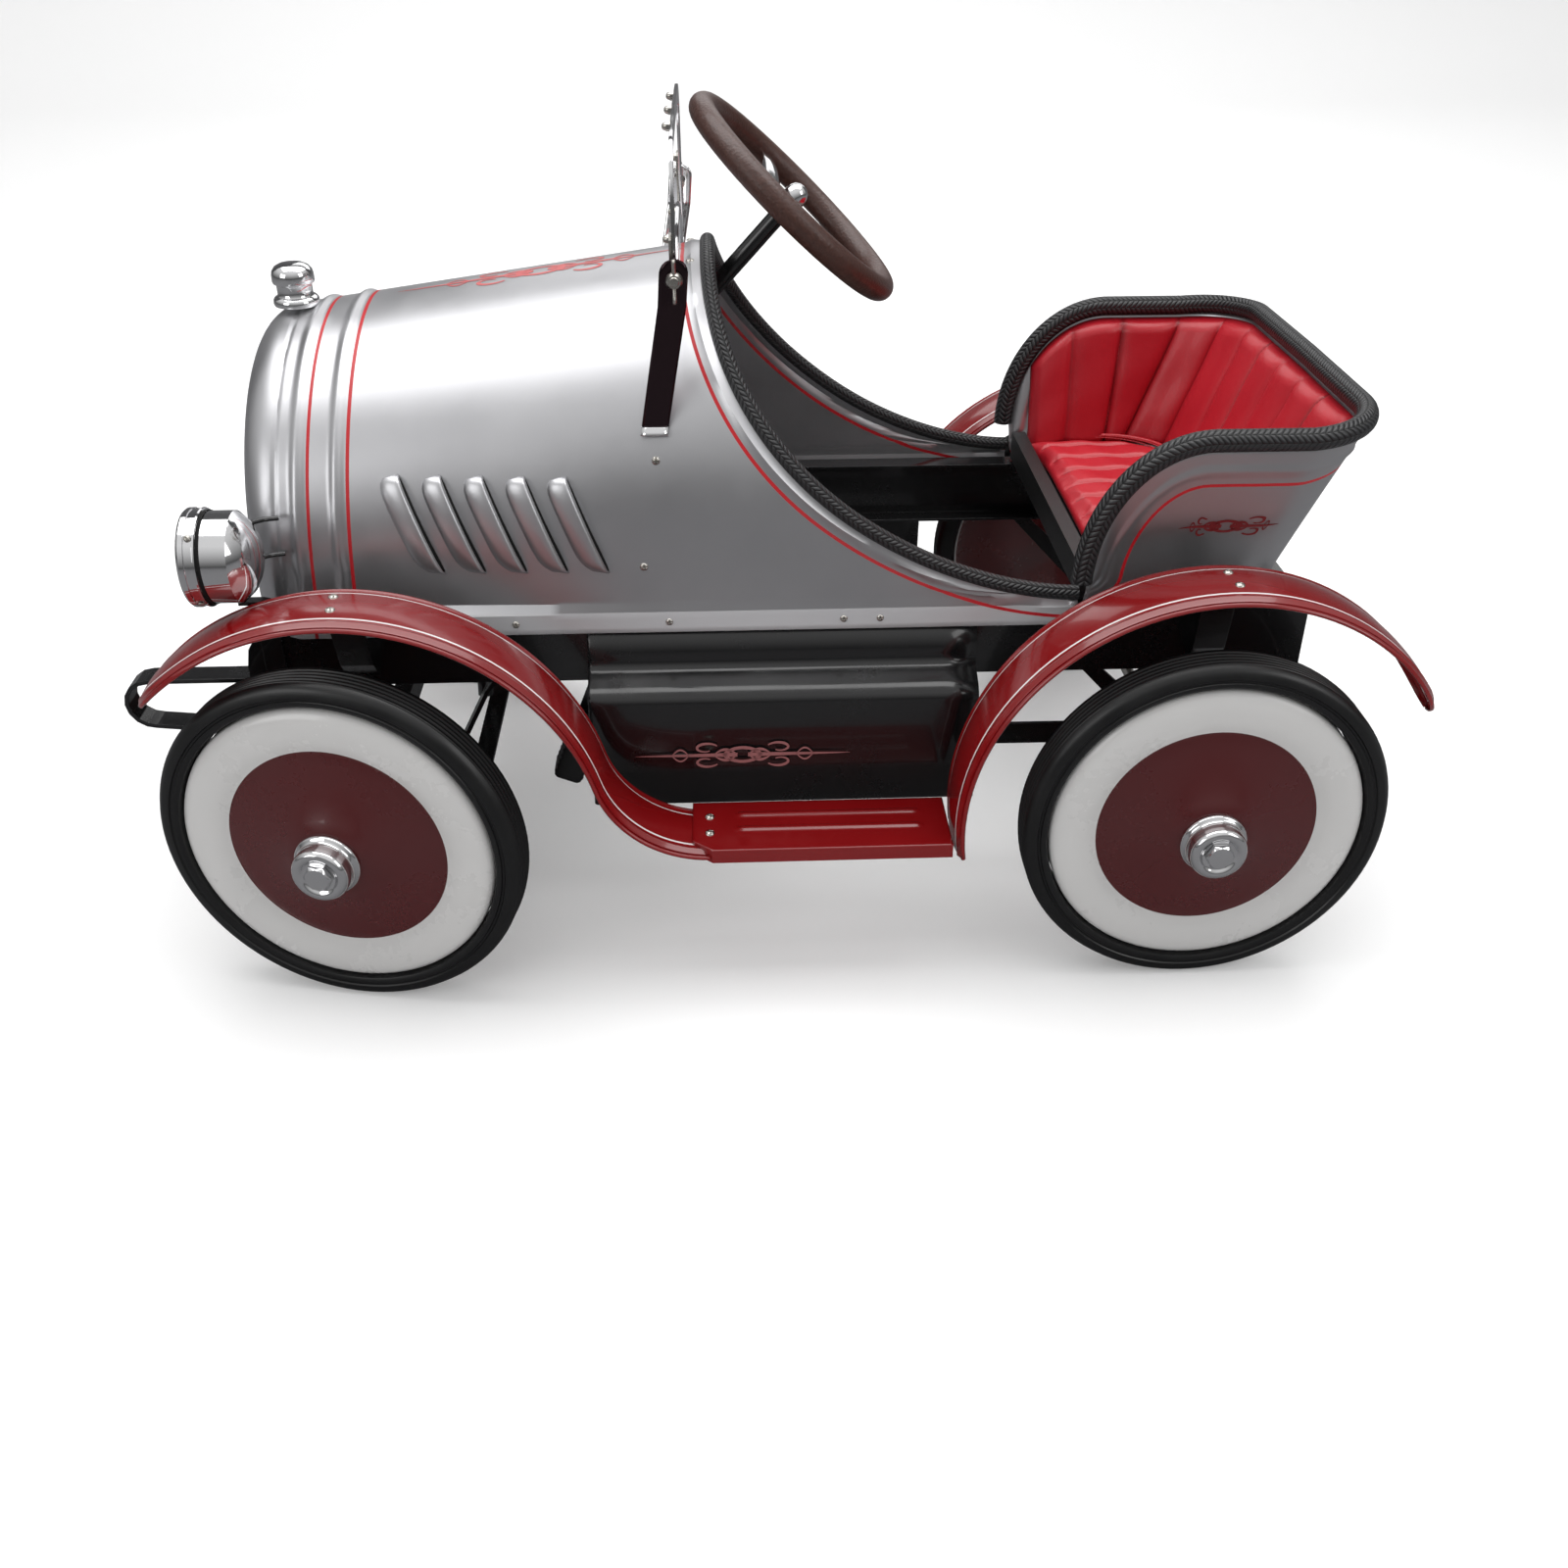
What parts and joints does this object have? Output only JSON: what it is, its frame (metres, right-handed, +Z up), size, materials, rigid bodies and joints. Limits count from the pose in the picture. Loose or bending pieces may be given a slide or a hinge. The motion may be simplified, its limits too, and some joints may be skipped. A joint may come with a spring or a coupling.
{
  "type": "pedal car",
  "caption": "Child's pedal car with steered front wheels, cranked rear axle with push rods and pedals, padded bucket seat, fenders, running boards and a folding windscreen frame.",
  "frame": {"origin": "centre of the footprint on the floor", "axes": "+X towards the rear of the car, +Y towards its right side, +Z up"},
  "size_m": [0.8933, 0.5534, 0.5525],
  "materials": {
    "silver_body": "brushed satin",
    "chrome": "polished",
    "red_paint": "gloss",
    "disc_paint": "gloss",
    "tyre": "matte",
    "pedal_rubber": "matte",
    "red_vinyl": "satin",
    "black_vinyl": "satin",
    "board_wood": "matte",
    "grained_rim": "satin",
    "bright_steel": "satin",
    "black_paint": "gloss"
  },
  "bodies": {
    "car": {"axle_strap_left": "black_paint", "axle_strap_right": "black_paint", "back_cushion": "red_vinyl", "body_shell": "silver_body", "cockpit_trim": "black_vinyl", "dash_bracket": "black_paint", "frame_rail_left": "black_paint", "frame_rail_right": "black_paint", "front_axle_beam": "black_paint", "front_fender_left": "red_paint", "front_fender_right": "red_paint", "lamp_bracket_left": "black_paint", "lamp_bracket_right": "black_paint", "lamp_left": "chrome", "lamp_right": "chrome", "pedal_cross_rod": "black_paint", "radiator_cap": "chrome", "radiator_grille": "chrome", "radiator_shell": "silver_body", "rear_cross_member": "black_paint", "rear_fender_left": "red_paint", "rear_fender_right": "red_paint", "rear_hanger_left": "black_paint", "rear_hanger_right": "black_paint", "running_board_left": "red_paint", "running_board_right": "red_paint", "seat_board": "board_wood", "seat_cushion": "red_vinyl", "seat_rim_trim": "black_vinyl", "seat_tub": "silver_body", "side_apron_left": "black_paint", "side_apron_right": "black_paint", "steering_cross_member": "black_paint", "windscreen_bracket_left": "chrome", "windscreen_bracket_right": "chrome"},
    "steering": {"steering_column": "black_paint", "steering_wheel_rim": "grained_rim", "steering_wheel_spokes": "chrome", "steering_nut": "chrome"},
    "knuckle_left": {"knuckle_left": "black_paint"},
    "knuckle_right": {"knuckle_right": "black_paint"},
    "tie_rod": {"tie_rod": "black_paint"},
    "front_left_wheel": {"wheel_disc_front_left": "disc_paint", "tyre_front_left": "tyre", "hub_cap_front_left": "chrome"},
    "front_right_wheel": {"wheel_disc_front_right": "disc_paint", "tyre_front_right": "tyre", "hub_cap_front_right": "chrome"},
    "rear_axle": {"rear_axle": "bright_steel", "wheel_disc_rear_left": "disc_paint", "tyre_rear_left": "tyre", "hub_cap_rear_left": "chrome"},
    "rear_right_wheel": {"wheel_disc_rear_right": "disc_paint", "tyre_rear_right": "tyre", "hub_cap_rear_right": "chrome"},
    "pedal_left": {"pedal_left": "pedal_rubber"},
    "push_rod_left": {"push_rod_left": "black_paint"},
    "pedal_right": {"pedal_right": "pedal_rubber"},
    "push_rod_right": {"push_rod_right": "black_paint"},
    "windscreen": {"windscreen_frame": "chrome"}
  },
  "joints": [
    {"name": "column_turn", "type": "hinge", "parent": "car", "child": "steering", "pos_m": [0.015, 0, 0.476], "axis": [0.6845, 0, 0.729], "range_deg": [-19, 48]},
    {"name": "knuckle_left_turn", "type": "hinge", "parent": "car", "child": "knuckle_left", "pos_m": [-0.279, -0.185, 0.125], "axis": [0, 0, 1], "range_deg": [-14, 35]},
    {"name": "knuckle_right_turn", "type": "hinge", "parent": "car", "child": "knuckle_right", "pos_m": [-0.279, 0.185, 0.125], "axis": [0, 0, 1], "range_deg": [-14, 35]},
    {"name": "tie_rod_pivot", "type": "hinge", "parent": "knuckle_left", "child": "tie_rod", "pos_m": [-0.21017, -0.19776, 0.11], "axis": [0, 0, 1], "range_deg": [-35, 14]},
    {"name": "front_left_spin", "type": "hinge", "parent": "knuckle_left", "child": "front_left_wheel", "pos_m": [-0.279, -0.185, 0.125], "axis": [0.1822, 0.9833, 0], "continuous": true},
    {"name": "front_right_spin", "type": "hinge", "parent": "knuckle_right", "child": "front_right_wheel", "pos_m": [-0.279, 0.185, 0.125], "axis": [0.1822, 0.9833, 0], "continuous": true},
    {"name": "rear_axle_spin", "type": "hinge", "parent": "car", "child": "rear_axle", "pos_m": [0.295, 0, 0.125], "axis": [0, 1, 0], "continuous": true},
    {"name": "rear_right_spin", "type": "hinge", "parent": "rear_axle", "child": "rear_right_wheel", "pos_m": [0.295, 0, 0.125], "axis": [0, 1, 0], "continuous": true},
    {"name": "push_rod_left_pivot", "type": "hinge", "parent": "rear_axle", "child": "push_rod_left", "pos_m": [0.26, -0.109, 0.125], "axis": [0, 1, 0], "continuous": true},
    {"name": "push_rod_right_pivot", "type": "hinge", "parent": "rear_axle", "child": "push_rod_right", "pos_m": [0.33, 0.109, 0.125], "axis": [0, 1, 0], "continuous": true},
    {"name": "pedal_left_swing", "type": "hinge", "parent": "car", "child": "pedal_left", "pos_m": [-0.105, 0, 0.212], "axis": [0, 1, 0], "range_deg": [-44, 0]},
    {"name": "pedal_right_swing", "type": "hinge", "parent": "car", "child": "pedal_right", "pos_m": [-0.105, 0, 0.212], "axis": [0, 1, 0], "range_deg": [0, 44]},
    {"name": "windscreen_tilt", "type": "hinge", "parent": "car", "child": "windscreen", "pos_m": [-0.054, 0, 0.47], "axis": [0, 1, 0], "range_deg": [-60, 3]}
  ],
  "couplings": [
    {"joint": "knuckle_left_turn", "follows": "column_turn", "ratio": 0.71429},
    {"joint": "knuckle_right_turn", "follows": "column_turn", "ratio": 0.71429},
    {"joint": "tie_rod_pivot", "follows": "column_turn", "ratio": -0.71429},
    {"joint": "push_rod_left_pivot", "follows": "rear_axle_spin", "ratio": -1},
    {"joint": "push_rod_right_pivot", "follows": "rear_axle_spin", "ratio": -1},
    {"joint": "pedal_right_swing", "follows": "pedal_left_swing", "ratio": -1}
  ]
}
